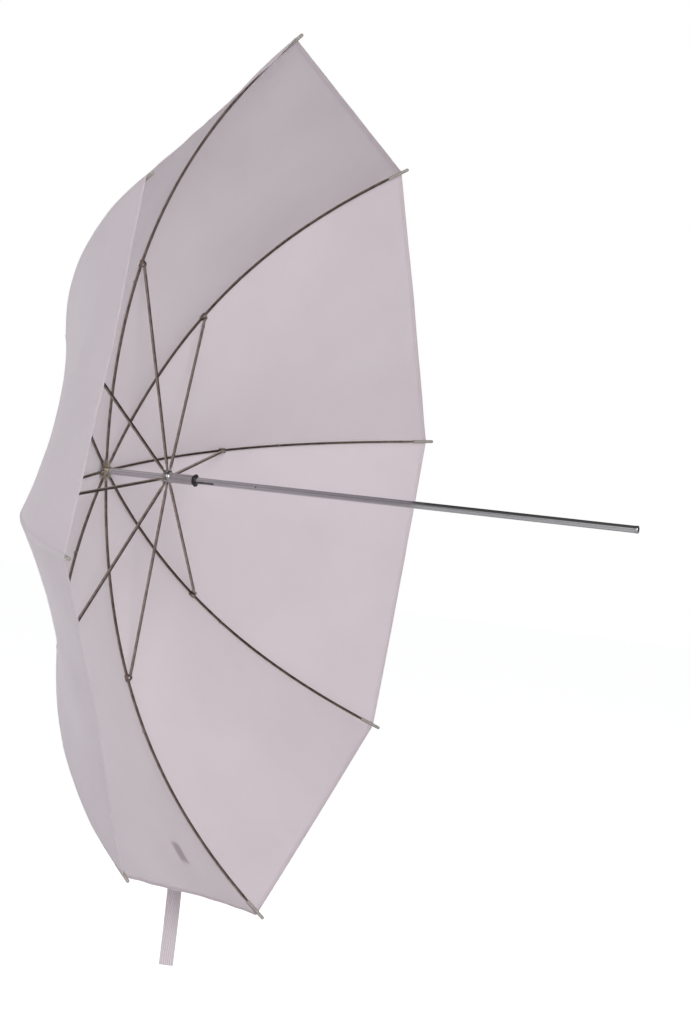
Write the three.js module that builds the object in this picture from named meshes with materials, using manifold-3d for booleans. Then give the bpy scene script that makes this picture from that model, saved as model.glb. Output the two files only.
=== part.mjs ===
// Shoot-through umbrella reflector, 43 inch, in millimetres with +Z up.
// The shaft lies along X, the open side faces +X, and the origin is at the shaft's handle end.
// It is drawn with the rib pivots in the plane x = 0 and moved to the origin at the end.
// Every rib is built pointing along +Z and then turned about the shaft to its station.
import * as THREE from 'three';
import ManifoldModule from 'manifold-3d';

const wasm = await ManifoldModule();
wasm.setup();
const { Manifold, CrossSection, Mesh: SolidMesh } = wasm;

// Driving dimensions
const RIB_COUNT = 8;
const FIRST_RIB_DEG = -9.13; // from +Z towards +Y
const RIM_R = 500;
const DEPTH_A = 5.44e-4; // rib depth x = A r^2 + B r^4
const DEPTH_B = 1.28e-9;

const SHAFT_R = 4;
const SHAFT_BORE = 3.3;
const SHAFT_START = -20;
const SHAFT_END = 634;
const CAP_FACE = 637.5; // the end cap's flat face, which is moved to x = 0
const CAP_R = 4.3;
const CAP_PLUG_R = 2.9;
const CAP_DEPTH = 12;
const SHAFT_SIDES = 24;
const STOP_HOLE_X = 191.5; // a small hole for a runner stop
const STOP_HOLE_R = 0.8;
const STOP_HOLE_DEG = -90;
const SLIDING_BORE = 4.25;

const NOTCH_R = 7.9;
const NOTCH_PIVOT_R = 6.6;
const WIRE_R = 0.4;

const RUNNER_X = 78.7;
const RUNNER_PIVOT_R = 7.9;
const HUB_R = 8.9;
const SLEEVE_R = 5.7;
const SPIGOT_R = 5.0;
const SLEEVE_END = 112;
const COLLAR_END = 116.6;
const COLLAR_R = 7.2;
const FLUTE_FLOOR_R = 6.35;
const SLOT_HALF = 1.2;

const RIB_HALF_W = 1.3;
const RIB_HALF_H = 1.2;
const CHANNEL_WALL = 0.45;
const RIB_FROM_R = 13;
const RIB_TO_R = 496;
const RIB_STATIONS = 13;
const RIB_END_SCALE = 0.72; // the end is crimped to enter the tip
const TONGUE_HALF = 0.8;
const EYE_R = 1.5;

const JOINT_STATION_R = 243;
const JOINT_OFFSET = 3.4;
const JOINT_HOLE_R = 0.95;
const RIVET_R = 0.75;

const STRETCHER_HALF_W = 1.5;
const STRETCHER_HALF_H = 1.25;

const TIP_FROM_R = 488;
const TIP_LENGTH = 28;
const TIP_BORE_R = 1.7;
const TIP_BORE_DEPTH = 15;

const COVER_FROM_R = 7;
const COVER_OFFSET = 3.4; // rib centre line to the cover's inner face
const COVER_THICK = 0.3;
const COVER_ROWS = 12;
const COVER_COLS = 4;
const SAG_MID = 14; // inward sag of a gore between its ribs, at its deepest
const SAG_RIM = 3; // and at the rim
const SAG_PLACE = 1.4; // puts the deepest sag at 61% of the rim radius

const CATCH_DEG = -121.6;
const CATCH_START = 118.2;
const CATCH_END = 138.6;
const CATCH_TOP_R = 5.0;
const CATCH_THICK = 1.8;
const CATCH_SLOT_HALF = 1.25;
const CATCH_SLOT_GAP = 0.6;
const KEYWAY_R = 5.3; // floor of the keyway that lets the runner pass the catch
const KEYWAY_HALF = 1.3;

const STRAP_RIB = 4; // counted from 0
const STRAP_R = 453;
const STRAP_ETA = 0.75; // place across the half gore, from the rib at 0 to mid gore at 1
const PATCH_HALF_R = 10;
const PATCH_HALF_ETA = 0.07;
const PATCH_GAP = 1.3;
const PATCH_THICK = 0.9;
const STRAP_WIDTH = 16;
const STRAP_DROP = 126;
const STRAP_TOP_NEAR = -21; // the strap's top is cut to stay clear of the patch at every slope of the cover
const STRAP_TOP_MIDDLE = -1.2;
const STRAP_TOP_FAR = -1.5;
const STRAP_THICK = 0.9;
const STRAP_HEM = 9;
const STRAP_TURN_DEG = 21; // the strap's width direction, about +Z from +X

const radians = (deg) => (deg * Math.PI) / 180;
const degrees = (rad) => (rad * 180) / Math.PI;
const HALF_GORE = Math.PI / RIB_COUNT;

// Rib curve
const depthAt = (r) => DEPTH_A * r ** 2 + DEPTH_B * r ** 4;
const slopeAt = (r) => Math.atan(2 * DEPTH_A * r + 4 * DEPTH_B * r ** 3);

function ribPoint(r, inward) {
  const slope = slopeAt(r);
  return { x: depthAt(r) + inward * Math.cos(slope), z: r - inward * Math.sin(slope) };
}

// Solid helpers
const turned = (profile, sides) =>
  new CrossSection([profile.map(([x, r]) => [r, x])], 'EvenOdd').revolve(sides).rotate([0, 90, 0]);

const plate = (outline, thickness) =>
  new CrossSection([outline], 'EvenOdd').extrude(thickness, 0, 0, [1, 1], true).rotate([90, 0, 0]);

const crossPin = (x, z, radius, length, sides = 10) =>
  Manifold.cylinder(length, radius, radius, sides, true).rotate([90, 0, 0]).translate([x, 0, z]);

const box = (x0, x1, y0, y1, z0, z1) =>
  Manifold.cube([x1 - x0, y1 - y0, z1 - z0]).translate([x0, y0, z0]);

const aboutShaft = (solid, deg) => solid.rotate([-deg, 0, 0]);

function closedSolid(points, triangles) {
  const p = points.map((q) => new THREE.Vector3(...q));
  const volume = triangles.reduce(
    (sum, [a, b, c]) => sum + p[a].dot(new THREE.Vector3().crossVectors(p[b], p[c])),
    0,
  );
  const facing = volume > 0 ? triangles : triangles.map(([a, b, c]) => [a, c, b]);
  return new Manifold(
    new SolidMesh({
      numProp: 3,
      vertProperties: new Float32Array(points.flat()),
      triVerts: new Uint32Array(facing.flat()),
    }),
  );
}

// A section in (y, inward) carried along stations of {x, z, slope, scale}.
function swept(section, stations) {
  const count = section.length;
  const points = stations.flatMap(({ x, z, slope, scale }) =>
    section.map(([y, n]) => [x + n * scale * Math.cos(slope), y * scale, z - n * scale * Math.sin(slope)]),
  );
  const triangles = [];
  for (let i = 0; i + 1 < stations.length; i += 1) {
    for (let j = 0; j < count; j += 1) {
      const a = i * count + j;
      const b = i * count + ((j + 1) % count);
      triangles.push([a, b, b + count], [a, b + count, a + count]);
    }
  }
  const outline = section.map(([y, n]) => new THREE.Vector2(y, n));
  const last = (stations.length - 1) * count;
  const turn = THREE.ShapeUtils.isClockWise(outline) ? -1 : 1;
  for (const [a, b, c] of THREE.ShapeUtils.triangulateShape(outline, [])) {
    const flat = (outline[b].x - outline[a].x) * (outline[c].y - outline[a].y)
      - (outline[b].y - outline[a].y) * (outline[c].x - outline[a].x);
    const [p, q] = flat * turn > 0 ? [b, c] : [c, b];
    triangles.push([a, q, p], [a + last, p + last, q + last]);
  }
  return closedSolid(points, triangles);
}

// A channel open towards the inside of the umbrella.
function channel(halfW, halfH) {
  const inner = halfW - CHANNEL_WALL;
  const floor = -halfH + CHANNEL_WALL;
  return [
    [-halfW, -halfH], [halfW, -halfH], [halfW, halfH], [inner, halfH],
    [inner, floor], [-inner, floor], [-inner, halfH], [-halfW, halfH],
  ];
}

function shaft() {
  const tube = turned(
    [[SHAFT_START, SHAFT_BORE], [SHAFT_START, SHAFT_R], [SHAFT_END, SHAFT_R], [SHAFT_END, SHAFT_BORE]],
    SHAFT_SIDES,
  );
  const slot = box(
    CATCH_START - CATCH_SLOT_GAP, CATCH_END + CATCH_SLOT_GAP, -CATCH_SLOT_HALF, CATCH_SLOT_HALF, 1, 6,
  );
  const hole = Manifold.cylinder(3, STOP_HOLE_R, STOP_HOLE_R, 8).translate([STOP_HOLE_X, 0, 2]);
  return tube.subtract(aboutShaft(slot, CATCH_DEG)).subtract(aboutShaft(hole, STOP_HOLE_DEG));
}

const shaftEndCap = () =>
  turned(
    [[SHAFT_END - CAP_DEPTH, 0], [SHAFT_END - CAP_DEPTH, CAP_PLUG_R], [SHAFT_END + 0.3, CAP_PLUG_R],
      [SHAFT_END + 0.3, CAP_R], [CAP_FACE - 0.6, CAP_R], [CAP_FACE, CAP_R - 0.5], [CAP_FACE, 0]],
    SHAFT_SIDES,
  );

const crownCap = () =>
  turned(
    [[-5.3, 4.2], [-5.3, 8.5], [-7.5, 8.2], [-12, 6.4], [-22, 5.8], [-26.5, 4.6], [-29, 2.4], [-29.6, 0],
      [-21, 0], [-21, 4.2]],
    SHAFT_SIDES,
  );

const crownWasher = () =>
  turned([[-4.95, 4.25], [-4.95, 12.4], [-4.5, 13.2], [-4.05, 12.4], [-4.05, 4.25]], SHAFT_SIDES);

function radialSlots(x0, x1, floorR, half) {
  return Array.from({ length: RIB_COUNT }, (_, k) =>
    aboutShaft(box(x0, x1, -half, half, floorR, 20), FIRST_RIB_DEG + 45 * k));
}

function topNotch() {
  let solid = turned(
    [[-2, SLIDING_BORE], [-2, NOTCH_R - 0.5], [-1.5, NOTCH_R], [2.1, NOTCH_R], [2.6, NOTCH_R - 0.5],
      [2.6, 6], [5, 5.6], [5, SLIDING_BORE]],
    SHAFT_SIDES,
  );
  const groove = turned([[-0.7, 5.9], [-0.7, 10], [0.7, 10], [0.7, 5.9]], SHAFT_SIDES);
  for (const cut of [groove, ...radialSlots(-3, 6, 4.95, SLOT_HALF)]) {
    solid = solid.subtract(cut);
  }
  return solid;
}

function notchWire() {
  const section = Array.from({ length: 8 }, (_, i) => {
    const a = (i * Math.PI) / 4;
    return [WIRE_R * Math.cos(a), NOTCH_PIVOT_R + WIRE_R * Math.sin(a)];
  });
  return turned(section, 32);
}

const keyway = () =>
  aboutShaft(box(RUNNER_X - 5, COLLAR_END + 1, -KEYWAY_HALF, KEYWAY_HALF, 3, KEYWAY_R), CATCH_DEG);

function runner() {
  const start = RUNNER_X - 3.5;
  let solid = turned(
    [[start, SLIDING_BORE], [start, HUB_R - 0.5], [start + 0.5, HUB_R], [start + 6.5, HUB_R],
      [start + 7, HUB_R - 0.5], [start + 7, 6.4], [start + 9, SLEEVE_R], [SLEEVE_END, SLEEVE_R],
      [SLEEVE_END, SPIGOT_R], [COLLAR_END - 0.4, SPIGOT_R], [COLLAR_END - 0.4, SLIDING_BORE]],
    SHAFT_SIDES,
  );
  const slit = aboutShaft(box(start + 11, SLEEVE_END - 3, -0.25, 0.25, SLEEVE_R - 0.5, 8), -92);
  for (const cut of [slit, keyway(), ...radialSlots(start - 1, start + 9, 6.4, SLOT_HALF)]) {
    solid = solid.subtract(cut);
  }
  return solid;
}

function runnerCollar() {
  let solid = turned(
    [[SLEEVE_END + 0.2, SPIGOT_R + 0.12], [SLEEVE_END + 0.2, COLLAR_R - 0.4], [SLEEVE_END + 0.6, COLLAR_R],
      [COLLAR_END - 0.4, COLLAR_R], [COLLAR_END, COLLAR_R - 0.4], [COLLAR_END, SPIGOT_R + 0.12]],
    SHAFT_SIDES,
  );
  for (const cut of [keyway(), ...radialSlots(SLEEVE_END - 1, COLLAR_END + 1, FLUTE_FLOOR_R, SLOT_HALF)]) {
    solid = solid.subtract(cut);
  }
  return solid;
}

function openCatch() {
  const outline = [
    [CATCH_START, 0.9], [CATCH_START, 4.9], [CATCH_START + 0.8, CATCH_TOP_R],
    [CATCH_START + 2.5, CATCH_TOP_R], [CATCH_END - 3, 4.1], [CATCH_END, 3.7], [CATCH_END, 2.4],
    [CATCH_START + 4, 2.0], [CATCH_START + 2.5, 0.9],
  ];
  return aboutShaft(plate(outline, CATCH_THICK), CATCH_DEG);
}

function rib() {
  const stations = Array.from({ length: RIB_STATIONS + 1 }, (_, i) => {
    const r = RIB_FROM_R + ((RIB_TO_R - RIB_FROM_R) * i) / RIB_STATIONS;
    return { x: depthAt(r), z: r, slope: slopeAt(r), scale: r > TIP_FROM_R ? RIB_END_SCALE : 1 };
  });
  const neck = TIP_FROM_R - 3;
  stations.splice(-1, 0, { x: depthAt(neck), z: neck, slope: slopeAt(neck), scale: RIB_END_SCALE });
  const tongueEnd = RIB_FROM_R + 4;
  const tongue = plate(
    [[-EYE_R, NOTCH_PIVOT_R], [-1.1, tongueEnd], [1.2, tongueEnd], [EYE_R, NOTCH_PIVOT_R]],
    2 * TONGUE_HALF,
  );
  const eye = crossPin(0, NOTCH_PIVOT_R, EYE_R, 2 * TONGUE_HALF);
  const filler = box(-0.95, 1.1, -1.1, 1.1, RIB_FROM_R + 0.2, RIB_FROM_R + 4);
  const hole = crossPin(0, NOTCH_PIVOT_R, 0.8, 4);
  return swept(channel(RIB_HALF_W, RIB_HALF_H), stations).add(tongue).add(eye).add(filler).subtract(hole);
}

// Puts a solid drawn with x inward and z outward along the rib onto the rib at radius r.
function onRib(solid, r) {
  return solid.rotate([0, degrees(slopeAt(r)), 0]).translate([depthAt(r), 0, r]);
}

function jointClip() {
  const outline = [
    [-2.1, -4], [-2.1, 4], [1.6, 4], [4.4, 2.2], [5.3, 0.8], [5.3, -0.8], [4.4, -2.2], [1.6, -4],
  ];
  const slot = box(-1.5, 6, -1.6, 1.6, -5, 5);
  const solid = plate(outline, 5).subtract(slot).subtract(crossPin(JOINT_OFFSET, 0, JOINT_HOLE_R, 8));
  return onRib(solid, JOINT_STATION_R);
}

function jointRivet() {
  const half = [[2.65, 0], [2.65, 1.5], [3.0, 1.4], [3.25, 0.9], [3.25, 0]];
  const profile = [[-3.25, 0], ...half.map(([s, r]) => [-s, r]).reverse().slice(1, -1), [-2.65, RIVET_R],
    [2.65, RIVET_R], ...half.slice(1, -1), [3.25, 0]];
  const alongY = turned(profile, 8).rotate([0, 0, 90]);
  return onRib(alongY.translate([JOINT_OFFSET, 0, 0]), JOINT_STATION_R);
}

function stretcher() {
  const outer = ribPoint(JOINT_STATION_R, JOINT_OFFSET);
  const inner = { x: RUNNER_X, z: RUNNER_PIVOT_R };
  const length = Math.hypot(outer.x - inner.x, outer.z - inner.z);
  const slope = Math.atan2(outer.x - inner.x, outer.z - inner.z);
  const station = (z) => ({ x: 0, z, slope: 0, scale: 1 });
  const bar = swept(channel(STRETCHER_HALF_W, STRETCHER_HALF_H), [station(8), station(length - 7)]);
  const innerTongue = plate([[-1.1, 0], [-1.1, 12], [1.2, 12], [1.1, 0]], 2 * TONGUE_HALF);
  const outerTongue = plate(
    [[-1.1, length - 11], [-1.8, length], [1.8, length], [1.2, length - 11]],
    2 * TONGUE_HALF,
  );
  return bar
    .add(innerTongue)
    .add(crossPin(0, 0, 1.1, 2 * TONGUE_HALF))
    .add(box(-1, 1.1, -1.3, 1.3, 8.2, 12))
    .add(outerTongue)
    .add(crossPin(0, length, 1.8, 2 * TONGUE_HALF))
    .add(box(-1, 1.1, -1.3, 1.3, length - 11, length - 7.2))
    .subtract(crossPin(0, length, JOINT_HOLE_R, 4))
    .rotate([0, degrees(slope), 0])
    .translate([inner.x, 0, inner.z]);
}

function ribTip() {
  const profile = [
    [0, TIP_BORE_R], [0, 1.95], [1, 2.1], [TIP_LENGTH - 10, 2.0], [TIP_LENGTH - 3, 1.9],
    [TIP_LENGTH - 1, 1.5], [TIP_LENGTH - 0.2, 0.7], [TIP_LENGTH, 0], [TIP_BORE_DEPTH, 0],
    [TIP_BORE_DEPTH, TIP_BORE_R],
  ];
  const alongZ = turned(profile, 10).rotate([0, -90, 0]);
  const lean = slopeAt((TIP_FROM_R + RIB_TO_R) / 2);
  return alongZ.rotate([0, degrees(lean), 0]).translate([depthAt(TIP_FROM_R), 0, TIP_FROM_R]);
}

// How far the tensioned cloth sags inwards at radius r and a share of the way to mid gore.
function sagAt(r, side) {
  const share = r / RIM_R;
  const middle = SAG_MID * Math.sin(Math.PI * Math.min(share, 1) ** SAG_PLACE);
  return (1 - (1 - side) ** 2) * (middle + SAG_RIM * share ** 3);
}

// A point of the cover at radius r, from the rib (eta 0) to mid gore (eta -1 or 1).
function coverPoint(r, eta, inward) {
  const side = Math.abs(eta);
  const { x, z } = ribPoint(r, inward + sagAt(r, side));
  const y = eta * z * Math.sin(HALF_GORE) * Math.cos(HALF_GORE);
  const up = z * (1 - side * Math.sin(HALF_GORE) ** 2);
  return [x, y, up];
}

// One cloth cell, reaching from mid gore to mid gore across its rib.
function coverCell() {
  const points = [];
  const across = COVER_COLS + 1;
  for (const inward of [-COVER_OFFSET, -COVER_OFFSET - COVER_THICK]) {
    for (let i = 0; i <= COVER_ROWS; i += 1) {
      const r = COVER_FROM_R + ((RIM_R - COVER_FROM_R) * i) / COVER_ROWS;
      const edge = 1 - 0.2 / (r * Math.sin(HALF_GORE) * Math.cos(HALF_GORE));
      for (let j = 0; j <= COVER_COLS; j += 1) {
        points.push(coverPoint(r, edge * ((2 * j) / COVER_COLS - 1), inward));
      }
    }
  }
  const layer = (COVER_ROWS + 1) * across;
  const triangles = [];
  const quad = (a, b, c, d) => triangles.push([a, b, c], [a, c, d]);
  for (let i = 0; i < COVER_ROWS; i += 1) {
    for (let j = 0; j < COVER_COLS; j += 1) {
      const a = i * across + j;
      quad(a, a + 1, a + 1 + across, a + across);
      quad(a + layer, a + across + layer, a + 1 + across + layer, a + 1 + layer);
    }
    for (const [a, flip] of [[i * across, false], [i * across + COVER_COLS, true]]) {
      const wall = [a, a + across, a + across + layer, a + layer];
      quad(...(flip ? wall.reverse() : wall));
    }
  }
  for (let j = 0; j < COVER_COLS; j += 1) {
    for (const [a, flip] of [[j, true], [COVER_ROWS * across + j, false]]) {
      const wall = [a, a + 1, a + 1 + layer, a + layer];
      quad(...(flip ? wall.reverse() : wall));
    }
  }
  return closedSolid(points, triangles);
}

// The strap's sewn patch, on the outside of the cover near the rim. The strap hangs from it, behind the rim.
function strapPatch() {
  const corners = [];
  for (const gap of [PATCH_GAP, PATCH_GAP + PATCH_THICK]) {
    const inward = -COVER_OFFSET - COVER_THICK - gap;
    for (const r of [STRAP_R - PATCH_HALF_R, STRAP_R + PATCH_HALF_R]) {
      corners.push(
        coverPoint(r, STRAP_ETA - PATCH_HALF_ETA, inward),
        coverPoint(r, STRAP_ETA + PATCH_HALF_ETA, inward),
      );
    }
  }
  return aboutShaft(Manifold.hull(corners), FIRST_RIB_DEG + 45 * STRAP_RIB);
}

function strapRoot() {
  const outside = -COVER_OFFSET - COVER_THICK - PATCH_GAP - PATCH_THICK;
  const [x, y, z] = coverPoint(STRAP_R, STRAP_ETA, outside);
  const a = radians(-(FIRST_RIB_DEG + 45 * STRAP_RIB));
  return [x, y * Math.cos(a) - z * Math.sin(a), y * Math.sin(a) + z * Math.cos(a)];
}

function tieStrap() {
  const half = STRAP_WIDTH / 2;
  const cloth = plate(
    [[half, STRAP_TOP_NEAR], [0, STRAP_TOP_MIDDLE], [-half, STRAP_TOP_FAR], [-half, -STRAP_DROP],
      [half, -STRAP_DROP]],
    STRAP_THICK,
  );
  const hem = box(
    -half - 0.2, half + 0.2, -STRAP_THICK, STRAP_THICK, -STRAP_DROP - 0.3, -STRAP_DROP + STRAP_HEM,
  );
  return cloth.add(hem).rotate([0, 0, STRAP_TURN_DEG]).translate(strapRoot());
}

const COLOURS = {
  chrome: 0xc9ccd0, brass: 0x9c8c66, black: 0x1c1c1e, steel: 0x6a6460, tip: 0xb2aca6, cloth: 0xd8d0d8,
};

function meshOf(name, solid, colour, metalness = 0.1) {
  const { vertProperties, triVerts } = solid.getMesh();
  const indexed = new THREE.BufferGeometry();
  indexed.setAttribute('position', new THREE.BufferAttribute(new Float32Array(vertProperties), 3));
  indexed.setIndex(new THREE.BufferAttribute(new Uint32Array(triVerts), 1));
  const geometry = indexed.toNonIndexed();
  geometry.translate(-CAP_FACE, 0, 0);
  geometry.computeVertexNormals();
  const material = new THREE.MeshStandardMaterial({ color: colour, metalness, roughness: 0.5 });
  const mesh = new THREE.Mesh(geometry, material);
  mesh.name = name;
  return mesh;
}

const umbrella = new THREE.Group();
umbrella.name = 'umbrella_reflector';
umbrella.add(
  meshOf('shaft', shaft(), COLOURS.chrome, 0.9),
  meshOf('shaft_end_cap', shaftEndCap(), COLOURS.chrome, 0.9),
  meshOf('crown_cap', crownCap(), COLOURS.black),
  meshOf('crown_washer', crownWasher(), COLOURS.black),
  meshOf('top_notch', topNotch(), COLOURS.brass, 0.7),
  meshOf('notch_wire', notchWire(), COLOURS.steel, 0.9),
  meshOf('runner', runner(), COLOURS.chrome, 0.8),
  meshOf('runner_collar', runnerCollar(), COLOURS.black),
  meshOf('open_catch', openCatch(), COLOURS.steel, 0.9),
  meshOf('strap_patch', strapPatch(), COLOURS.cloth),
  meshOf('tie_strap', tieStrap(), COLOURS.cloth),
);

const perRib = [
  ['rib', rib(), COLOURS.steel, 0.8],
  ['joint_clip', jointClip(), COLOURS.steel, 0.8],
  ['joint_rivet', jointRivet(), COLOURS.chrome, 0.9],
  ['stretcher', stretcher(), COLOURS.steel, 0.8],
  ['rib_tip', ribTip(), COLOURS.tip, 0.1],
  ['canopy', coverCell(), COLOURS.cloth, 0],
];
for (const [name, solid, colour, metalness] of perRib) {
  for (let k = 0; k < RIB_COUNT; k += 1) {
    umbrella.add(meshOf(`${name}_${k + 1}`, aboutShaft(solid, FIRST_RIB_DEG + 45 * k), colour, metalness));
  }
}

export default umbrella;
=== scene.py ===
"""Looks for the shoot-through umbrella reflector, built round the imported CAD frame."""

import math

import bmesh
import bpy
from mathutils import Matrix, Vector, noise

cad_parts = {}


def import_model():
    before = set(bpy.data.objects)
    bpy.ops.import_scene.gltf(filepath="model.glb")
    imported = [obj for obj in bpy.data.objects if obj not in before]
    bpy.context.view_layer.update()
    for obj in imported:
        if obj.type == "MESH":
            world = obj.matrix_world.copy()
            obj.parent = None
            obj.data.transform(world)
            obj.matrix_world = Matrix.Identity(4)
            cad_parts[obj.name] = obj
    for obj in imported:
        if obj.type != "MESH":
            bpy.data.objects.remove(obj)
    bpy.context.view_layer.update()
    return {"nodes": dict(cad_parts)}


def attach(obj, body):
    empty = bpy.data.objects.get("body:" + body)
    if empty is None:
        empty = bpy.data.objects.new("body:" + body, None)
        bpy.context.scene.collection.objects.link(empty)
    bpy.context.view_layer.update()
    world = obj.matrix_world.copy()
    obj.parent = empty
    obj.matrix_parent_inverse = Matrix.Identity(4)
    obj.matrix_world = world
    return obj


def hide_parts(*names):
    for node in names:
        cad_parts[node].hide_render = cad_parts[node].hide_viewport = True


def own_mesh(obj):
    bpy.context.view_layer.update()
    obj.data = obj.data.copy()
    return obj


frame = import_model()
NODES = frame["nodes"]
MM = 0.001

# The umbrella's shape, as in the CAD. Lengths are in millimetres unless a name or comment says metres.
RIBS = 8
RIB_STEP_DEG = 360.0 / RIBS
HALF_GORE = math.pi / RIBS
FIRST_RIB_DEG = -9.13
RIM_R = 500.0
DEPTH_A = 5.44e-4  # a rib's depth at radius r is A r^2 + B r^4
DEPTH_B = 1.28e-9
PIVOT_R = 6.6
CAP_FACE = 637.5  # pieces are drawn with the rib pivots at x = 0, and the frame's origin is the cap's face
TO_FRAME = Matrix.Translation((-CAP_FACE * MM, 0.0, 0.0))

# Shaft, catch, notch and runner
SHAFT_START = -20.0
SHAFT_END = 634.0
SHAFT_R = 4.0
SHAFT_BORE = 3.3
STOP_HOLE_X = 191.5
STOP_HOLE_R = 0.8
STOP_HOLE_DEG = -90.0
CATCH_DEG = -121.6
CATCH_SLOT = (117.6, 139.2)
CATCH_SLOT_HALF = 1.25
SLIDING_BORE = 4.25
SLOT_HALF = 1.2
HUB_R = 8.9
HUB_GROOVE_R = 8.45
SLEEVE_R = 5.7
SLEEVE_END = 112.0
SPIGOT_R = 5.0
COLLAR_BORE = 5.12
COLLAR_FLANGE_R = 7.2
COLLAR_END = 116.6

# Ribs and tips
RIB_FROM_R = 12.0
RIB_TO_R = 496.0
RIB_CRIMP_R = 484.0
RIB_CRIMP_SCALE = 0.74
TONGUE_HALF = 0.8
EYE_R = 1.5
EYE_HOLE_R = 0.8
NECK_END_R = 15.0
TIP_FROM_R = 488.0
TIP_MIDDLE_R = 492.0
TIP_LENGTH = 28.0
TIP_BORE_R = 1.7
TIP_BORE_DEPTH = 15.0
TIE_RADII = (221.0, 308.0, 332.0, 299.0, 304.0, 118.0, 312.0, 290.0)  # one for each rib

# The cover sheet
COVER_OFFSET = -3.0  # inward of a rib's centre line, so the sheet lies outside the ribs
COVER_ROW = 5.9  # spacing of the sheet's rows
COVER_COLS = 44
# Each cell is cut into rings at these radii.
RING_EDGES = (5.5, 120.0, 210.0, 290.0, 360.0, 425.0, RIM_R)
RINGS = len(RING_EDGES) - 1
SAG_MID = 14.0
SAG_RIM = 3.0
SAG_PLACE = 1.4
HEM_WIDTH = 2.5
HEM_LIFT = 0.9  # the hem's turned edge lies this far over the sheet
CREASE_DEPTH = 0.75

# The strap, on the fifth rib
STRAP_RIB = 4  # counted from 0
STRAP_R = 453.0
STRAP_ETA = 0.75  # place across the half gore, from the rib at 0 to mid gore at 1
STRAP_OFFSET = -5.9
STRAP_WIDTH = 16.0
STRAP_DROP = 126.0
STRAP_TOP_NEAR = -21.0
STRAP_TOP_MIDDLE = -1.2
STRAP_TOP_FAR = -1.5
STRAP_TURN = math.radians(21.0)
STRAP_THICK = 0.9
HEM_SHARES = (0.885, 0.92, 0.96, 0.995, 1.006)  # the hem's rows, as shares of the strap's length
HEM_LIFTS = (0.75, 1.05, 1.05, 0.95, 0.3)
HEM_THICK = 0.7
PATCH_OFFSET = -5.2
PATCH_HALF_R = 10.0
PATCH_HALF_ETA = 0.07
PATCH_CROWN = 0.25
PATCH_THICK = 0.8

# Cloth detail, in metres or per metre
SEAM_HALF = 0.0042
HEM_HALF = 0.0032
SEAM_STITCH_AT = 0.0031
SEAM_STITCH_HALF = 0.00045
RIM_STITCH_AT = 0.4972
RIM_STITCH_HALF = 0.0003
STITCHES = 380
COVER_THREADS = 1400
STRAP_CORDS = 420
STRAP_PICKS = 1500

# Stage, in metres from the rib pivots, except the floor, which is in millimetres like the meshes
FLOOR_Z = -950.0
FLOOR_HALF = 14000.0
FLOOR_CELLS = 3
FLOOR_GLOW = 0.72  # lifts the floor towards the white of the backdrop, and lights nothing
LIGHT_AIM = (0.1, 0.0, 0.0)
AMBIENT = 0.29
ROOM_DARK = 0.12  # strength of the room that metal mirrors, away from the camera
ROOM_BRIGHT = 1.7  # and behind the camera
BRIGHT_FROM = 0.6  # dot with the way back to the camera, where the bright side starts
BRIGHT_FULL = 0.93
CAMERA_PLACE = (1.2591, -2.5004, 0.0285)
CAMERA_RIGHT = Vector((0.9279, 0.3574, 0.1065))
CAMERA_UP = Vector((-0.1054, -0.0225, 0.9942))
CAMERA_BACK = CAMERA_RIGHT.cross(CAMERA_UP)
CAMERA_LENS = 56.1
CAMERA_SENSOR = 24.0


def depth_at(r):
    return DEPTH_A * r**2 + DEPTH_B * r**4


def slope_at(r):
    return math.atan(2 * DEPTH_A * r + 4 * DEPTH_B * r**3)


def rib_point(r, inward):
    slope = slope_at(r)
    return depth_at(r) + inward * math.cos(slope), r - inward * math.sin(slope)


def rib_turn(k):
    """The turn that carries a piece drawn along +Z to rib k."""
    return Matrix.Rotation(-math.radians(FIRST_RIB_DEG + RIB_STEP_DEG * k), 4, "X")


# ---------------------------------------------------------------- mesh helpers


def make_object(name, points, faces, material, smooth=True):
    mesh = bpy.data.meshes.new(name)
    mesh.from_pydata([Vector(p) * MM for p in points], [], faces)
    mesh.validate()
    mesh.update()
    mesh.polygons.foreach_set("use_smooth", [smooth] * len(mesh.polygons))
    mesh.materials.append(material)
    obj = bpy.data.objects.new(name, mesh)
    bpy.context.scene.collection.objects.link(obj)
    return obj


def grid_faces(rows, cols, wrap=False):
    faces = []
    for i in range(rows - 1):
        for j in range(cols if wrap else cols - 1):
            a = i * cols + j
            b = i * cols + (j + 1) % cols
            faces.append((a, b, b + cols, a + cols))
    return faces


def turned(name, profile, material, sides=64):
    """A solid of revolution about +X from (x, r) points that start and end on the axis or close up."""
    closed = profile[0] != profile[-1] and profile[0][1] > 0
    loop = profile + [profile[0]] if closed else profile
    points = []
    for x, r in loop:
        for j in range(sides):
            a = 2 * math.pi * j / sides
            points.append((x, r * math.sin(a), r * math.cos(a)))
    obj = make_object(name, points, grid_faces(len(loop), sides, wrap=True), material, smooth=False)
    weld(obj)
    return obj


def weld(obj):
    bm = bmesh.new()
    bm.from_mesh(obj.data)
    bmesh.ops.remove_doubles(bm, verts=bm.verts, dist=1e-6)
    bmesh.ops.recalc_face_normals(bm, faces=bm.faces)
    bm.to_mesh(obj.data)
    bm.free()


def apply_modifiers(obj):
    graph = bpy.context.evaluated_depsgraph_get()
    mesh = bpy.data.meshes.new_from_object(obj.evaluated_get(graph), depsgraph=graph)
    old = obj.data
    obj.modifiers.clear()
    obj.data = mesh
    bpy.data.meshes.remove(old)


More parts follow.
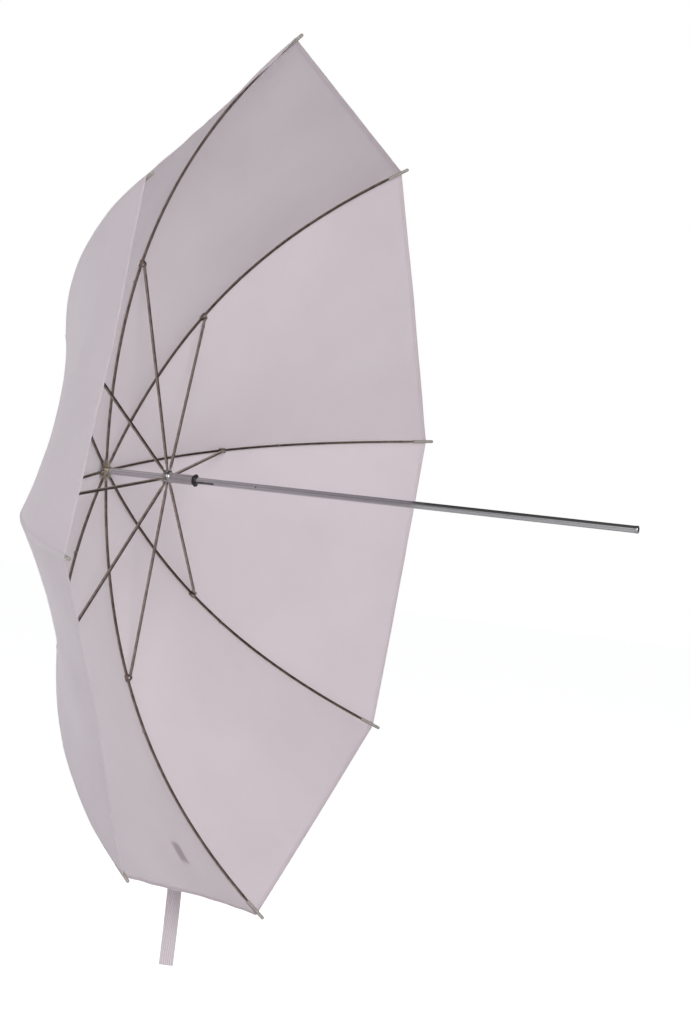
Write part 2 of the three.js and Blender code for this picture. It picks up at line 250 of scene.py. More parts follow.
def cut_boxes(obj, boxes):
    """Takes boxes, each (corner, corner, turn about +X in degrees), out of a solid."""
    for low, high, deg in boxes:
        corners = [
            (x, y, z) for x in (low[0], high[0]) for y in (low[1], high[1]) for z in (low[2], high[2])
        ]
        faces = [(0, 1, 3, 2), (4, 6, 7, 5), (0, 4, 5, 1), (2, 3, 7, 6), (0, 2, 6, 4), (1, 5, 7, 3)]
        take_away(obj, make_object("cutter", corners, faces, obj.data.materials[0], smooth=False), deg)


def cut_hole(obj, x, radius, deg):
    """Takes a round radial hole, turned deg about +X, out of a tube."""
    sides = 24
    ring = []
    for j in range(sides):
        a = 2 * math.pi * j / sides
        ring.append((x + radius * math.cos(a), radius * math.sin(a)))
    points = [(px, py, z) for z in (1.0, 6.0) for px, py in ring]
    faces = grid_faces(2, sides, wrap=True) + [tuple(range(sides)), tuple(range(sides, 2 * sides))]
    take_away(obj, make_object("cutter", points, faces, obj.data.materials[0], smooth=False), deg)


def take_away(obj, cutter, deg):
    """Cuts a piece by a cutter turned deg about +X, and removes the cutter."""
    cutter.data.transform(Matrix.Rotation(-math.radians(deg), 4, "X"))
    weld(cutter)
    cut = obj.modifiers.new("cut", "BOOLEAN")
    cut.object = cutter
    cut.operation = "DIFFERENCE"
    cut.solver = "EXACT"
    apply_modifiers(obj)
    bpy.data.objects.remove(cutter)


def soften(obj, width):
    """Rounds a solid's sharp edges."""
    angle = 30.0
    bevel = obj.modifiers.new("edge", "BEVEL")
    bevel.width = width * MM
    bevel.segments = 2
    bevel.limit_method = "ANGLE"
    bevel.angle_limit = math.radians(angle)
    bevel.harden_normals = True
    apply_modifiers(obj)
    smooth_by_angle(obj, angle)


def smooth_by_angle(obj, angle_deg=35.0):
    obj.data.polygons.foreach_set("use_smooth", [True] * len(obj.data.polygons))
    obj.data.set_sharp_from_angle(angle=math.radians(angle_deg))


def swept(name, section, stations, material):
    """A closed bar: a section of (y, inward) points carried along (x, z, slope, scale) stations."""
    points = []
    for x, z, slope, scale in stations:
        for y, n in section:
            points.append((x + n * scale * math.cos(slope), y * scale, z - n * scale * math.sin(slope)))
    count = len(section)
    faces = grid_faces(len(stations), count, wrap=True)
    faces.append(tuple(range(count)))
    faces.append(tuple(reversed(range(len(points) - count, len(points)))))
    obj = make_object(name, points, faces, material)
    weld(obj)
    return obj


def put_on(obj, body, node):
    """Moves a drawn piece into the frame, on a body, in place of a CAD node."""
    obj.data.transform(TO_FRAME)
    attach(obj, body)
    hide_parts(node)


def put_on_rib(obj, k, node):
    """Does the same for a piece drawn along +Z that belongs on rib k."""
    obj.data.transform(rib_turn(k))
    put_on(obj, f"rib_{k + 1}", f"{node}_{k + 1}")


def map_cloth(obj, places):
    """Gives a cloth its UV map from (metres across, metres along) for each vertex."""
    layer = obj.data.uv_layers.new(name="cloth")
    for loop in obj.data.loops:
        layer.data[loop.index].uv = places[loop.vertex_index]


# ------------------------------------------------------------------- materials


class Shader:
    """A short way to add and join nodes of one material."""

    def __init__(self, name):
        self.material = bpy.data.materials.new(name)
        self.material.use_nodes = True
        self.tree = self.material.node_tree
        self.bsdf = self.tree.nodes["Principled BSDF"]

    def node(self, kind, **values):
        made = self.tree.nodes.new(kind)
        for key, value in values.items():
            if hasattr(made, key):
                setattr(made, key, value)
            else:
                made.inputs[key.replace("_", " ")].default_value = value
        return made

    def join(self, source, target):
        self.tree.links.new(source, target)

    def feed(self, value, socket):
        """Gives a socket another node's output, a colour or a number."""
        if isinstance(value, bpy.types.NodeSocket):
            self.join(value, socket)
        elif isinstance(value, tuple):
            socket.default_value = (*value, 1.0)
        else:
            socket.default_value = value

    def math(self, operation, *values, clamp=False):
        made = self.node("ShaderNodeMath", operation=operation, use_clamp=clamp)
        for value, socket in zip(values, made.inputs):
            self.feed(value, socket)
        return made.outputs[0]

    def noise(self, scale, detail=3.0, coords=None):
        made = self.node("ShaderNodeTexNoise", Scale=scale, Detail=detail)
        if coords is None:
            coords = self.node("ShaderNodeTexCoord").outputs["Object"]
        self.join(coords, made.inputs["Vector"])
        return made.outputs["Fac"]

    def mix(self, factor, low, high):
        """The colour low, turning to high as the factor goes from 0 to 1."""
        made = self.node("ShaderNodeMix", data_type="RGBA")
        self.feed(factor, made.inputs["Factor"])
        self.feed(low, made.inputs["A"])
        self.feed(high, made.inputs["B"])
        return made.outputs["Result"]

    def spread(self, factor, low, high):
        """Stretches the middle of a noise to run from low to high."""
        made = self.node("ShaderNodeMapRange")
        self.join(factor, made.inputs["Value"])
        made.inputs["From Min"].default_value = 0.3
        made.inputs["From Max"].default_value = 0.7
        made.inputs["To Min"].default_value = low
        made.inputs["To Max"].default_value = high
        return made.outputs["Result"]

    def bump(self, height, strength, distance):
        made = self.node("ShaderNodeBump", Strength=strength, Distance=distance)
        self.join(height, made.inputs["Height"])
        return made.outputs["Normal"]

    def set(self, **values):
        for key, value in values.items():
            self.bsdf.inputs[key.replace("_", " ")].default_value = value


def metal(name, low, high, rough, dent, metallic=1.0):
    """Plated metal: cloudy colour and roughness, and fine dents."""
    s = Shader(name)
    s.join(s.mix(s.spread(s.noise(140.0), 0.0, 1.0), low, high), s.bsdf.inputs["Base Color"])
    s.join(s.spread(s.noise(420.0, 4.0), rough[0], rough[1]), s.bsdf.inputs["Roughness"])
    s.join(s.bump(s.noise(900.0, 2.0), dent, 0.00004), s.bsdf.inputs["Normal"])
    s.set(Metallic=metallic)
    return s.material


def drawn_metal(name, low, high, rough):
    """A polished tube along X, with the fine lengthwise streaks that drawing leaves."""
    s = Shader(name)
    stretch = s.node("ShaderNodeVectorMath", operation="MULTIPLY")
    s.join(s.node("ShaderNodeTexCoord").outputs["Object"], stretch.inputs[0])
    stretch.inputs[1].default_value = (0.004, 1.0, 1.0)
    streaks = s.noise(330.0, 2.0, coords=stretch.outputs[0])
    s.join(s.mix(s.spread(streaks, 0.0, 1.0), low, high), s.bsdf.inputs["Base Color"])
    s.join(s.spread(s.noise(60.0), rough[0], rough[1]), s.bsdf.inputs["Roughness"])
    s.set(Metallic=1.0)
    return s.material


def plastic(name, low, high, rough, dent=0.2):
    """Moulded plastic or thread: slight colour change and a fine grain."""
    s = Shader(name)
    s.join(s.mix(s.spread(s.noise(220.0), 0.0, 1.0), low, high), s.bsdf.inputs["Base Color"])
    s.join(s.spread(s.noise(600.0), rough[0], rough[1]), s.bsdf.inputs["Roughness"])
    s.join(s.bump(s.noise(1500.0, 2.0), dent, 0.00005), s.bsdf.inputs["Normal"])
    s.set(Specular_IOR_Level=0.45)
    return s.material


def band(s, value, centre, half):
    """1 within half of the centre, with a soft edge, else 0."""
    away = s.math("ABSOLUTE", s.math("SUBTRACT", value, centre))
    outside = s.math("DIVIDE", s.math("SUBTRACT", away, half * 0.8), half * 0.4, clamp=True)
    return s.math("SUBTRACT", 1.0, outside)


def waves(s, value, per_metre):
    """A sine along a coordinate in metres."""
    return s.math("SINE", s.math("MULTIPLY", value, 2 * math.pi * per_metre))


def dashes(s, along):
    """1 on each stitch and 0 between them."""
    return s.math("GREATER_THAN", waves(s, along, STITCHES), -0.35)


def cover_cloth():
    """Thin white nylon: lets light through, with doubled cloth and stitches at the seams and hem."""
    s = Shader("cover_cloth")
    uv = s.node("ShaderNodeSeparateXYZ")
    s.join(s.node("ShaderNodeUVMap", uv_map="cloth").outputs["UV"], uv.inputs[0])
    across, along = uv.outputs["X"], uv.outputs["Y"]
    seam = band(s, across, 0.0, SEAM_HALF)
    doubled = s.math("MAXIMUM", seam, band(s, along, RIM_R * MM, HEM_HALF))

    left_row = band(s, across, -SEAM_STITCH_AT, SEAM_STITCH_HALF)
    right_row = band(s, across, SEAM_STITCH_AT, SEAM_STITCH_HALF)
    seam_stitch = s.math("MULTIPLY", s.math("MAXIMUM", right_row, left_row), dashes(s, along))
    rim_stitch = s.math("MULTIPLY", band(s, along, RIM_STITCH_AT, RIM_STITCH_HALF), dashes(s, across))
    stitch = s.math("MAXIMUM", seam_stitch, rim_stitch)

    cloudy = s.spread(s.noise(9.0, 4.0), 0.0, 1.0)
    single = s.mix(cloudy, (0.755, 0.685, 0.72), (0.795, 0.725, 0.76))
    colour = s.mix(s.math("MULTIPLY", doubled, 0.6), single, (0.84, 0.77, 0.805))
    colour = s.mix(s.math("MULTIPLY", stitch, 0.3), colour, (0.42, 0.39, 0.41))
    s.join(colour, s.bsdf.inputs["Base Color"])

    weave = s.math("MULTIPLY", waves(s, across, COVER_THREADS), waves(s, along, COVER_THREADS))
    wrinkle = s.math("MULTIPLY", s.noise(26.0, 5.0), 7.0)
    height = s.math("ADD", s.math("MULTIPLY", weave, 0.35), wrinkle)
    height = s.math("ADD", height, s.math("MULTIPLY", doubled, 3.0))
    height = s.math("SUBTRACT", height, s.math("MULTIPLY", stitch, 2.0))
    normal = s.bump(height, 0.35, 0.00018)
    s.join(normal, s.bsdf.inputs["Normal"])
    s.set(Roughness=0.62, Specular_IOR_Level=0.22, Sheen_Weight=0.12, Sheen_Roughness=0.4)

    through = s.node("ShaderNodeBsdfTranslucent")
    s.join(colour, through.inputs["Color"])
    s.join(normal, through.inputs["Normal"])
    mix = s.node("ShaderNodeMixShader")
    share = s.math("SUBTRACT", 0.4, s.math("MULTIPLY", seam, 0.05))
    s.join(share, mix.inputs["Fac"])
    s.join(s.bsdf.outputs[0], mix.inputs[1])
    s.join(through.outputs[0], mix.inputs[2])
    s.join(mix.outputs[0], s.tree.nodes["Material Output"].inputs["Surface"])
    return s.material


def strap_cloth():
    """Ribbed tape: fine lengthwise cords, with painted shade in the grooves between them and the cord tops
    painted lighter.
    """
    s = Shader("strap_cloth")
    uv = s.node("ShaderNodeSeparateXYZ")
    s.join(s.node("ShaderNodeUVMap", uv_map="cloth").outputs["UV"], uv.inputs[0])
    cords = waves(s, uv.outputs["X"], STRAP_CORDS)
    picks = waves(s, uv.outputs["Y"], STRAP_PICKS)
    # painted shade: the colour runs darker in the grooves and lighter on the cord tops, following the same
    # waves as the bump
    painted_groove_shade = s.math("MULTIPLY_ADD", cords, 0.35, 0.5)
    s.join(s.mix(painted_groove_shade, (0.52, 0.465, 0.495), (0.74, 0.67, 0.71)), s.bsdf.inputs["Base Color"])
    height = s.math("ADD", cords, s.math("MULTIPLY", picks, 0.25))
    s.join(s.bump(height, 0.6, 0.00025), s.bsdf.inputs["Normal"])
    s.set(Roughness=0.8, Specular_IOR_Level=0.2, Sheen_Weight=0.2)
    return s.material


CHROME = drawn_metal("chrome", (0.33, 0.33, 0.345), (0.80, 0.80, 0.81), (0.08, 0.16))
NICKEL = metal("nickel", (0.44, 0.43, 0.44), (0.50, 0.49, 0.495), (0.2, 0.26), dent=0.01)
BRASS = metal("brass", (0.42, 0.37, 0.29), (0.58, 0.52, 0.42), (0.35, 0.55), dent=0.15, metallic=0.8)
RIB_STEEL = metal("rib_steel", (0.19, 0.155, 0.135), (0.37, 0.305, 0.255), (0.28, 0.45), dent=0.12)
STRETCHER_STEEL = metal("stretcher_steel", (0.30, 0.26, 0.235), (0.52, 0.45, 0.385), (0.26, 0.42), dent=0.12)
SPRING_STEEL = metal("spring_steel", (0.12, 0.12, 0.125), (0.22, 0.22, 0.225), (0.3, 0.45), dent=0.15)
BLACK = plastic("black_plastic", (0.012, 0.012, 0.013), (0.024, 0.024, 0.026), (0.32, 0.48))
TIP = plastic("tip_plastic", (0.31, 0.285, 0.26), (0.40, 0.37, 0.345), (0.38, 0.5))
CLOTH = cover_cloth()
STRAP = strap_cloth()
THREAD = plastic("thread", (0.30, 0.27, 0.255), (0.46, 0.425, 0.40), (0.7, 0.85), dent=0.5)


# ------------------------------------------------------------------- the cover


def sag_at(r, side):
    """How far the tensioned cloth sags inwards, by radius and share of the way to mid gore."""
    share = min(r / RIM_R, 1.0)
    return (1 - (1 - side) ** 2) * (SAG_MID * math.sin(math.pi * share**SAG_PLACE) + SAG_RIM * share**3)


def cover_point(r, eta, offset):
    """A point of the cover at radius r, from the rib (eta 0) to mid gore (eta -1 or 1)."""
    side = abs(eta)
    x, z = rib_point(r, offset + sag_at(r, side))
    y = eta * z * math.sin(HALF_GORE) * math.cos(HALF_GORE)
    up = z * (1 - side * math.sin(HALF_GORE) ** 2)
    return Vector((x, y, up))


def crease(p, r):
    """Height of the small folds at a point of the whole cover, so that neighbouring cells meet."""
    soft = noise.noise(p * 0.011) + 0.45 * noise.noise(p * 0.034)
    swell = 1.0 + 1.6 * (r / RIM_R) ** 6 + 1.1 * math.exp(-((r / 55.0) ** 2))
    return CREASE_DEPTH * soft * swell


def ring_rows(ring):
    """(radius, height over the sheet) of the rows of one ring, with the folded hem on the last."""
    low, high = RING_EDGES[ring], RING_EDGES[ring + 1]
    steps = round((high - low) / COVER_ROW)
    rows = [(low + (high - low) * i / steps, 0.0) for i in range(steps + 1)]
    if high == RIM_R:
        rows[-1:] = [(RIM_R - 0.6, 0.0), (RIM_R, 0.0)]
        rows += [(RIM_R + 0.35, HEM_LIFT / 2), (RIM_R, HEM_LIFT)]
        rows += [(RIM_R - HEM_WIDTH * share, HEM_LIFT) for share in (0.25, 0.5, 0.75, 1.0)]
    return rows


def sheet_normal(r, eta):
    """The direction out of the sheet, from the points round it."""
    here = cover_point(r, eta, COVER_OFFSET)
    if eta < 1:
        side = cover_point(r, eta + 1e-3, COVER_OFFSET) - here
    else:
        side = here - cover_point(r, eta - 1e-3, COVER_OFFSET)
    out = cover_point(r + 0.5, eta, COVER_OFFSET) - cover_point(r - 0.5, eta, COVER_OFFSET)
    return side.cross(out).normalized()


def cover_cell(k, ring):
    """One ring of the cloth that reaches from mid gore to mid gore across rib k."""
    turn = rib_turn(k)
    facing = turn.to_3x3()
    rows = ring_rows(ring)
    points, places = [], []
    for r, fold in rows:
        for j in range(COVER_COLS + 1):
            eta = 2 * j / COVER_COLS - 1
            flat = cover_point(r, eta, COVER_OFFSET)
            placed = turn @ flat
            points.append(placed + (facing @ sheet_normal(r, eta)) * (crease(placed, r) + fold))
            places.append((flat.y * MM, r * MM))
    obj = make_object(f"cover_{k + 1}_{ring + 1}", points, grid_faces(len(rows), COVER_COLS + 1), CLOTH)
    map_cloth(obj, places)
    put_on(obj, f"rib_{k + 1}", f"canopy_{k + 1}")
    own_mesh(obj)


# -------------------------------------------------------- ribs, ties and tips


def channel(half_w, half_h, wall):
    """The section of a channel that is open towards the inside of the umbrella."""
    inner = half_w - wall
    floor_at = -half_h + wall
    corner = 0.25
    return [
        (-half_w + corner, -half_h), (half_w - corner, -half_h), (half_w, -half_h + corner), (half_w, half_h),
        (inner, half_h), (inner, floor_at), (-inner, floor_at), (-inner, half_h), (-half_w, half_h),
        (-half_w, -half_h + corner),
    ]


def rib_bar(k):
    """The channel itself, crimped at its end to enter the tip."""
    steps = 72
    stations = []
    for i in range(steps + 1):
        r = RIB_FROM_R + (RIB_TO_R - RIB_FROM_R) * i / steps
        scale = 1.0 if r < RIB_CRIMP_R else RIB_CRIMP_SCALE
        stations.append((depth_at(r), r, slope_at(r), scale))
    bar = swept(f"rib_bar_{k + 1}", channel(1.3, 1.2, 0.45), stations, RIB_STEEL)
    smooth_by_angle(bar)
    put_on_rib(bar, k, "rib")


def rib_eye(k):
    """The flat ring at the rib's inner end, round the notch wire."""
    sides = 40
    circle = []
    for i in range(sides):
        a = 2 * math.pi * i / sides
        circle.append((math.sin(a), math.cos(a)))
    points = []
    for y in (-TONGUE_HALF, TONGUE_HALF):
        for radius in (EYE_R, EYE_HOLE_R):
            points += [(radius * c, y, PIVOT_R + radius * d) for c, d in circle]
    faces = []
    for i in range(sides):
        j = (i + 1) % sides
        faces.append((i, j, sides + j, sides + i))
        faces.append((2 * sides + i, 3 * sides + i, 3 * sides + j, 2 * sides + j))
        faces.append((i, 2 * sides + i, 2 * sides + j, j))
        faces.append((sides + i, sides + j, 3 * sides + j, 3 * sides + i))
    eye = make_object(f"rib_eye_{k + 1}", points, faces, BRASS)
    weld(eye)
    smooth_by_angle(eye)
    put_on_rib(eye, k, "rib")


def rib_neck(k):
    """The flat tongue between the eye and the channel."""
    end = (depth_at(NECK_END_R), NECK_END_R, slope_at(NECK_END_R), 0.95)
    neck = swept(
        f"rib_neck_{k + 1}",
        [(-TONGUE_HALF, -1.1), (TONGUE_HALF, -1.1), (TONGUE_HALF, 1.2), (-TONGUE_HALF, 1.2)],
        [(0.0, PIVOT_R + 1.2, 0.0, 1.0), (0.05, 10.0, 0.0, 0.95), end],
        BRASS,
    )
    smooth_by_angle(neck)
    put_on_rib(neck, k, "rib")


def rib_tip(k):
    """The plastic cap on the rib's end: a small collar, a sleeve and a rounded nose."""
    nose = TIP_LENGTH - 6
    profile = [
        (TIP_BORE_DEPTH, 0.0), (TIP_BORE_DEPTH, TIP_BORE_R), (0.0, TIP_BORE_R), (0.0, 1.95), (0.4, 2.1),
        (10.5, 2.08), (10.9, 1.9), (11.6, 1.9), (12.0, 2.05), (nose, 2.0),
    ]
    for t in (0.0, 0.35, 0.7, 1.0, 1.25, 1.45):
        profile.append((nose + 4.1 + 1.9 * math.sin(t), 1.95 * math.cos(t) ** 0.8))
    profile.append((TIP_LENGTH, 0.0))
    tip = turned(f"tip_cap_{k + 1}", profile, TIP, sides=32)
    smooth_by_angle(tip, 40.0)
    to_z = Matrix.Rotation(-math.pi / 2, 4, "Y")
    lean = Matrix.Rotation(slope_at(TIP_MIDDLE_R), 4, "Y")
    place = Matrix.Translation(Vector((depth_at(TIP_FROM_R), 0, TIP_FROM_R)) * MM)
    tip.data.transform(rib_turn(k) @ place @ lean @ to_z)
    put_on(tip, f"rib_{k + 1}", f"rib_tip_{k + 1}")


def thread_tie(k):
    """A few turns of thread that hold the cover to its rib."""
    steps, turns = 96, 4
    wire, sides = 0.2, 8
    path = []
    for i in range(steps + 1):
        a = 2 * math.pi * turns * i / steps
        r = TIE_RADII[k] + 2.6 * (i / steps - 0.5)
        reach = 1.6 + 0.08 * math.sin(3.1 * i)
        inward = -0.6 - reach * 1.25 * math.cos(a)
        x, z = rib_point(r, inward)
        path.append(Vector((x, reach * math.sin(a), z)))
    points = []
    for i, p in enumerate(path):
        ahead = (path[min(i + 1, steps)] - path[max(i - 1, 0)]).normalized()
        u = ahead.cross(Vector((0, 0, 1))).normalized()
        v = ahead.cross(u)
        for j in range(sides):
            b = 2 * math.pi * j / sides
            points.append(p + wire * (math.cos(b) * u + math.sin(b) * v))
    faces = grid_faces(len(path), sides, wrap=True)
    faces.append(tuple(range(sides)))
    faces.append(tuple(range(len(points) - sides, len(points))))
    tie = make_object(f"thread_tie_{k + 1}", points, faces, THREAD)
    weld(tie)
    tie.data.transform(TO_FRAME @ rib_turn(k))
    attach(tie, f"rib_{k + 1}")


# -------------------------------------------------------------- shaft and hubs


def slots(x0, x1, floor_r):
    """The boxes that cut a slot for each rib or stretcher, down to a floor radius."""
    return [
        ((x0, -SLOT_HALF, floor_r), (x1, SLOT_HALF, 20.0), FIRST_RIB_DEG + RIB_STEP_DEG * k)
        for k in range(RIBS)
    ]


def shaft():
    tube = turned(
        "shaft_tube",
        [(SHAFT_START, SHAFT_BORE), (SHAFT_START, SHAFT_R), (SHAFT_END, SHAFT_R), (SHAFT_END, SHAFT_BORE)],
        CHROME,
        sides=72,
    )
    low = (CATCH_SLOT[0], -CATCH_SLOT_HALF, 1.0)
    high = (CATCH_SLOT[1], CATCH_SLOT_HALF, 6.0)
    cut_boxes(tube, [(low, high, CATCH_DEG)])
    cut_hole(tube, STOP_HOLE_X, STOP_HOLE_R, STOP_HOLE_DEG)
    smooth_by_angle(tube)
    put_on(tube, "shaft", "shaft")


def shaft_plug():
    cap = turned(
        "shaft_plug",
        [(622.0, 0.0), (622.0, 2.9), (634.3, 2.9), (634.3, 4.2), (636.3, 4.3), (637.1, 4.1), (CAP_FACE, 3.6),
         (CAP_FACE, 0.0)],
        NICKEL,
    )
    smooth_by_angle(cap)
    put_on(cap, "shaft", "shaft_end_cap")


def crown():
    cap = turned(
        "crown_ferrule",
        [(-5.3, 4.2), (-5.3, 8.1), (-5.7, 8.5), (-7.5, 8.2), (-9.5, 7.3), (-12.0, 6.4), (-16.0, 6.0),
         (-22.0, 5.8), (-24.5, 5.4), (-26.5, 4.6), (-28.0, 3.5), (-29.0, 2.2), (-29.5, 0.9), (-29.6, 0.0),
         (-21.0, 0.0), (-21.0, 4.2), (-5.3, 4.2)],
        BLACK,
    )
    smooth_by_angle(cap, 40.0)
    put_on(cap, "shaft", "crown_cap")
    washer = turned(
        "crown_disc",
        [(-4.95, 4.25), (-4.95, 12.0), (-4.8, 12.8), (-4.5, 13.2), (-4.2, 12.8), (-4.05, 12.0),
         (-4.05, 4.25)],
        BLACK,
    )
    smooth_by_angle(washer)
    put_on(washer, "shaft", "crown_washer")


def notch():
    solid = turned(
        "notch_ring",
        [(-2.0, SLIDING_BORE), (-2.0, 7.4), (-1.5, 7.9), (-0.7, 7.9), (-0.7, 5.9), (0.7, 5.9), (0.7, 7.9),
         (2.1, 7.9), (2.6, 7.4), (2.6, 6.0), (5.0, 5.6), (5.0, SLIDING_BORE)],
        BRASS,
    )
    cut_boxes(solid, slots(-3.0, 6.0, 4.95))
    soften(solid, 0.12)
    put_on(solid, "shaft", "top_notch")
    wire_r, sides = 0.4, 12
    ring = []
    for i in range(sides):
        a = i * math.pi / 6
        ring.append((wire_r * math.cos(a), PIVOT_R + wire_r * math.sin(a)))
    wire = turned("notch_ring_wire", ring, SPRING_STEEL)
    smooth_by_angle(wire, 60.0)
    put_on(wire, "shaft", "notch_wire")


def keyway():
    """The groove that lets the runner and its collar pass the raised catch."""
    return (73.7, -1.3, 3.0), (118.4, 1.3, 5.3), CATCH_DEG


def runner():
    solid = turned(
        "runner_sleeve",
        [(75.2, SLIDING_BORE), (75.2, HUB_R - 0.5), (75.7, HUB_R), (78.0, HUB_R), (78.0, HUB_GROOVE_R),
         (79.4, HUB_GROOVE_R), (79.4, HUB_R), (81.7, HUB_R), (82.2, HUB_R - 0.5), (82.2, 6.4),
         (84.2, SLEEVE_R), (SLEEVE_END, SLEEVE_R), (SLEEVE_END, SPIGOT_R), (COLLAR_END - 0.4, SPIGOT_R),
         (COLLAR_END - 0.4, SLIDING_BORE)],
        NICKEL,
    )
    slit = ((86.2, -0.25, 5.2), (109.0, 0.25, 8.0), -92.0)
    cut_boxes(solid, slots(74.2, 84.2, 6.4) + [slit, keyway()])
    soften(solid, 0.12)
    put_on(solid, "runner", "runner")


def runner_ring():
    collar = turned(
        "runner_ring",
        [(112.2, COLLAR_BORE), (112.2, 5.8), (113.4, 6.0), (113.7, 6.9), (114.0, COLLAR_FLANGE_R),
         (115.6, COLLAR_FLANGE_R), (115.9, 6.9), (116.1, 6.0), (COLLAR_END, 5.8), (COLLAR_END, COLLAR_BORE)],
        BLACK,
    )
    cut_boxes(collar, slots(111.0, 118.4, 6.35) + [keyway()])
    soften(collar, 0.15)
    put_on(collar, "runner", "runner_collar")


# ------------------------------------------------------------------- the strap


def cloth_sheet(name, rows, thick):
    """A thick strip of the strap's cloth, from rows of points."""
    points, places = [], []
    for row in rows:
        across = 0.0
        for j, p in enumerate(row):
            if j:
                across += (p - row[j - 1]).length
            points.append(p)
            places.append((across * MM, (row[0] - rows[0][0]).length * MM))
    obj = make_object(name, points, grid_faces(len(rows), len(rows[0])), STRAP)
    map_cloth(obj, places)
    solid = obj.modifiers.new("thick", "SOLIDIFY")
    solid.thickness = thick * MM
    solid.offset = 0.0
    apply_modifiers(obj)
    smooth_by_angle(obj, 50.0)
    return obj


def strap_rows(side, facing, steps):
    """Rows of points down the hanging tape, which waves a little and is cupped across."""
    cols = 10
    root = rib_turn(STRAP_RIB) @ cover_point(STRAP_R, STRAP_ETA, STRAP_OFFSET)
    rows = []
    for i in range(steps + 1):
        sway = 0.35 * math.sin(4.2 * i / steps)
        row = []
        for j in range(cols + 1):
            u = STRAP_WIDTH * (0.5 - j / cols)
            outer = STRAP_TOP_NEAR if u > 0 else STRAP_TOP_FAR
            top = STRAP_TOP_MIDDLE + (outer - STRAP_TOP_MIDDLE) * abs(u) / (STRAP_WIDTH / 2)
            drop = top + (-STRAP_DROP - top) * i / steps
            wave = 0.9 * math.sin(3.4 * i / steps) + 0.5 * math.sin(5.0 * i / steps + 0.35 * j)
            cup = 0.7 * (2 * j / cols - 1) ** 2
            row.append(root + side * (u + sway) + facing * (wave + cup) + Vector((0, 0, drop)))
        rows.append(row)
    return rows


def tie_strap():
    side = Vector((math.cos(STRAP_TURN), math.sin(STRAP_TURN), 0.0))
    facing = Vector((-math.sin(STRAP_TURN), math.cos(STRAP_TURN), 0.0))
    steps = 40
    rows = strap_rows(side, facing, steps)
    put_on(cloth_sheet("strap_tape", rows, STRAP_THICK), "tie_strap", "tie_strap")
    fold = []
    for share, lift in zip(HEM_SHARES, HEM_LIFTS):
        source = rows[min(int(share * steps), steps)]
        drop = 0.0 if share <= 1 else -0.7
        fold.append([p - facing * lift + Vector((0, 0, drop)) for p in source])
    put_on(cloth_sheet("strap_hem", fold, HEM_THICK), "tie_strap", "tie_strap")


def strap_patch():
    """The sewn patch that the strap hangs from, with a slightly raised middle."""
    turn = rib_turn(STRAP_RIB)
    steps, cols = 12, 8
    rows = []
    for i in range(steps + 1):
        r = STRAP_R + PATCH_HALF_R * (2 * i / steps - 1)
        offset = PATCH_OFFSET + PATCH_CROWN * math.sin(math.pi * i / steps)
        row = []
        for j in range(cols + 1):
            eta = STRAP_ETA + PATCH_HALF_ETA * (2 * j / cols - 1)
            row.append(turn @ cover_point(r, eta, offset))
        rows.append(row)
    put_on(cloth_sheet("strap_tab", rows, PATCH_THICK), "strap_mount", "strap_patch")


# ----------------------------------------------------------------------- stage


def paint_kept_nodes():
    """The CAD nodes whose shape is kept get their finish here."""
    finishes = {
        "open_catch": SPRING_STEEL,
        "joint_clip": RIB_STEEL,
        "joint_rivet": NICKEL,
        "stretcher": STRETCHER_STEEL,
    }
    for name, obj in NODES.items():
        finish = finishes.get(name) or finishes.get(name.rsplit("_", 1)[0])
        if finish is None:
            continue
        for place in obj.material_slots:
            place.material = finish
        if not obj.material_slots:
            obj.data.materials.append(finish)


def floor():
    points = []
    for i in range(FLOOR_CELLS + 1):
        for j in range(FLOOR_CELLS + 1):
            x = FLOOR_HALF * (2 * i / FLOOR_CELLS - 1)
            y = FLOOR_HALF * (2 * j / FLOOR_CELLS - 1)
            points.append((x, y, FLOOR_Z))
    s = Shader("floor")
    s.join(s.mix(s.noise(1.2), (0.93, 0.93, 0.93), (0.95, 0.95, 0.95)), s.bsdf.inputs["Base Color"])
    s.set(Roughness=0.9, Specular_IOR_Level=0.1, Emission_Color=(1.0, 1.0, 1.0, 1.0))
    seen = s.node("ShaderNodeLightPath").outputs["Is Camera Ray"]
    s.join(s.math("MULTIPLY", seen, FLOOR_GLOW), s.bsdf.inputs["Emission Strength"])
    make_object("floor", points, grid_faces(FLOOR_CELLS + 1, FLOOR_CELLS + 1), s.material)


def area_light(name, place, size, power, colour):
    """A soft square lamp. Its place is in metres from the rib pivots."""
    data = bpy.data.lights.new(name, "AREA")
    data.shape = "SQUARE"
    data.size = size
    data.energy = power
    data.color = colour
    lamp = bpy.data.objects.new(name, data)
    lamp.location = TO_FRAME @ Vector(place)
    lamp.rotation_euler = (Vector(LIGHT_AIM) - Vector(place)).to_track_quat("-Z", "Y").to_euler()
    bpy.context.scene.collection.objects.link(lamp)


def lights():
    area_light("key", (2.2, -3.6, 1.5), 2.2, 114.0, (1.0, 0.985, 0.98))
    area_light("fill", (-2.8, -2.4, 0.2), 2.4, 34.0, (0.94, 0.955, 1.0))
    area_light("back", (-2.6, 1.6, -0.2), 2.6, 40.0, (1.0, 0.975, 0.99))


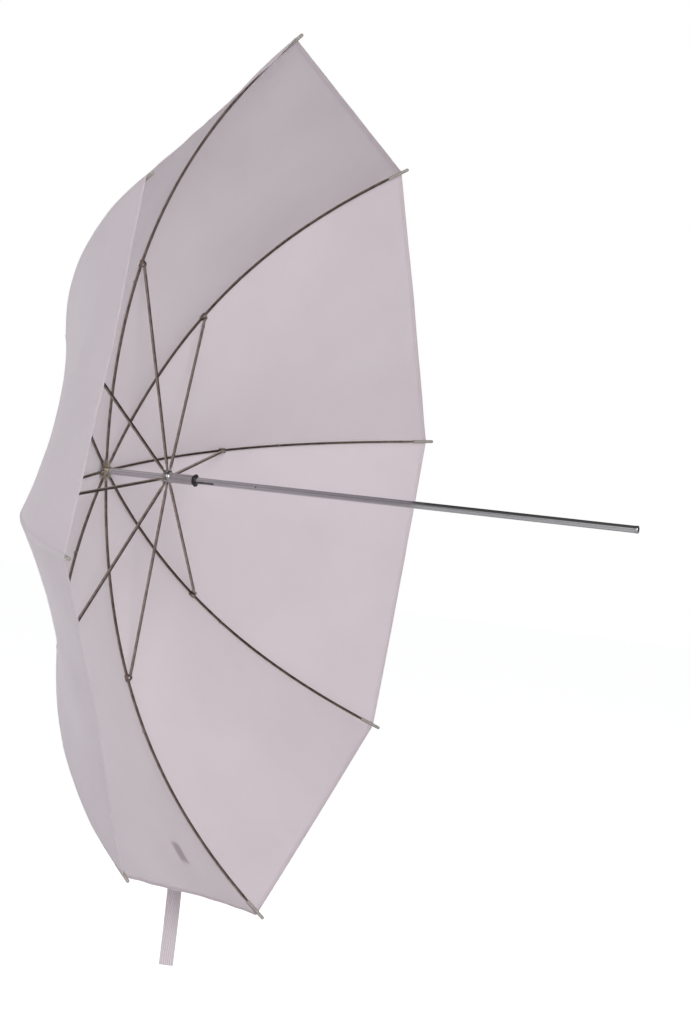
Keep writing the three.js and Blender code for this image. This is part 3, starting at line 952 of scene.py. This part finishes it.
def world():
    """White to the camera, dim to the cloth, and to metal a dark room that is bright behind the camera."""
    made = bpy.data.worlds.new("studio")
    made.use_nodes = True
    tree = made.node_tree
    ground = tree.nodes["Background"]
    ground.inputs["Color"].default_value = (0.97, 0.98, 1.0, 1.0)
    ground.inputs["Strength"].default_value = AMBIENT
    seen = tree.nodes.new("ShaderNodeBackground")
    seen.inputs["Color"].default_value = (1.0, 1.0, 1.0, 1.0)
    seen.inputs["Strength"].default_value = 1.0
    path = tree.nodes.new("ShaderNodeLightPath")

    towards = tree.nodes.new("ShaderNodeVectorMath")
    towards.operation = "DOT_PRODUCT"
    towards.inputs[1].default_value = CAMERA_BACK
    way = tree.nodes.new("ShaderNodeTexCoord")
    tree.links.new(way.outputs["Generated"], towards.inputs[0])
    lit = tree.nodes.new("ShaderNodeMapRange")
    lit.interpolation_type = "SMOOTHSTEP"
    lit.inputs["From Min"].default_value = BRIGHT_FROM
    lit.inputs["From Max"].default_value = BRIGHT_FULL
    lit.inputs["To Min"].default_value = ROOM_DARK
    lit.inputs["To Max"].default_value = ROOM_BRIGHT
    tree.links.new(towards.outputs["Value"], lit.inputs["Value"])
    mirrored = tree.nodes.new("ShaderNodeBackground")
    tree.links.new(lit.outputs["Result"], mirrored.inputs["Strength"])

    def choose(flag, otherwise, chosen):
        mixer = tree.nodes.new("ShaderNodeMixShader")
        tree.links.new(path.outputs[flag], mixer.inputs["Fac"])
        tree.links.new(otherwise.outputs[0], mixer.inputs[1])
        tree.links.new(chosen.outputs[0], mixer.inputs[2])
        return mixer

    mixed = choose("Is Camera Ray", choose("Is Glossy Ray", ground, mirrored), seen)
    tree.links.new(mixed.outputs[0], tree.nodes["World Output"].inputs["Surface"])
    bpy.context.scene.world = made


def camera():
    data = bpy.data.cameras.new("camera")
    data.sensor_fit = "VERTICAL"
    data.sensor_height = CAMERA_SENSOR
    data.lens = CAMERA_LENS
    data.clip_end = 100.0
    made = bpy.data.objects.new("camera", data)
    turn = Matrix((CAMERA_RIGHT, CAMERA_UP, CAMERA_BACK)).transposed().to_4x4()
    made.matrix_world = TO_FRAME @ Matrix.Translation(CAMERA_PLACE) @ turn
    bpy.context.scene.collection.objects.link(made)
    bpy.context.scene.camera = made


for rib_number in range(RIBS):
    for ring_number in range(RINGS):
        cover_cell(rib_number, ring_number)
    rib_bar(rib_number)
    rib_eye(rib_number)
    rib_neck(rib_number)
    rib_tip(rib_number)
    thread_tie(rib_number)
shaft()
shaft_plug()
crown()
notch()
runner()
runner_ring()
tie_strap()
strap_patch()
paint_kept_nodes()
floor()
lights()
world()
camera()
bpy.context.scene.view_settings.view_transform = "Standard"
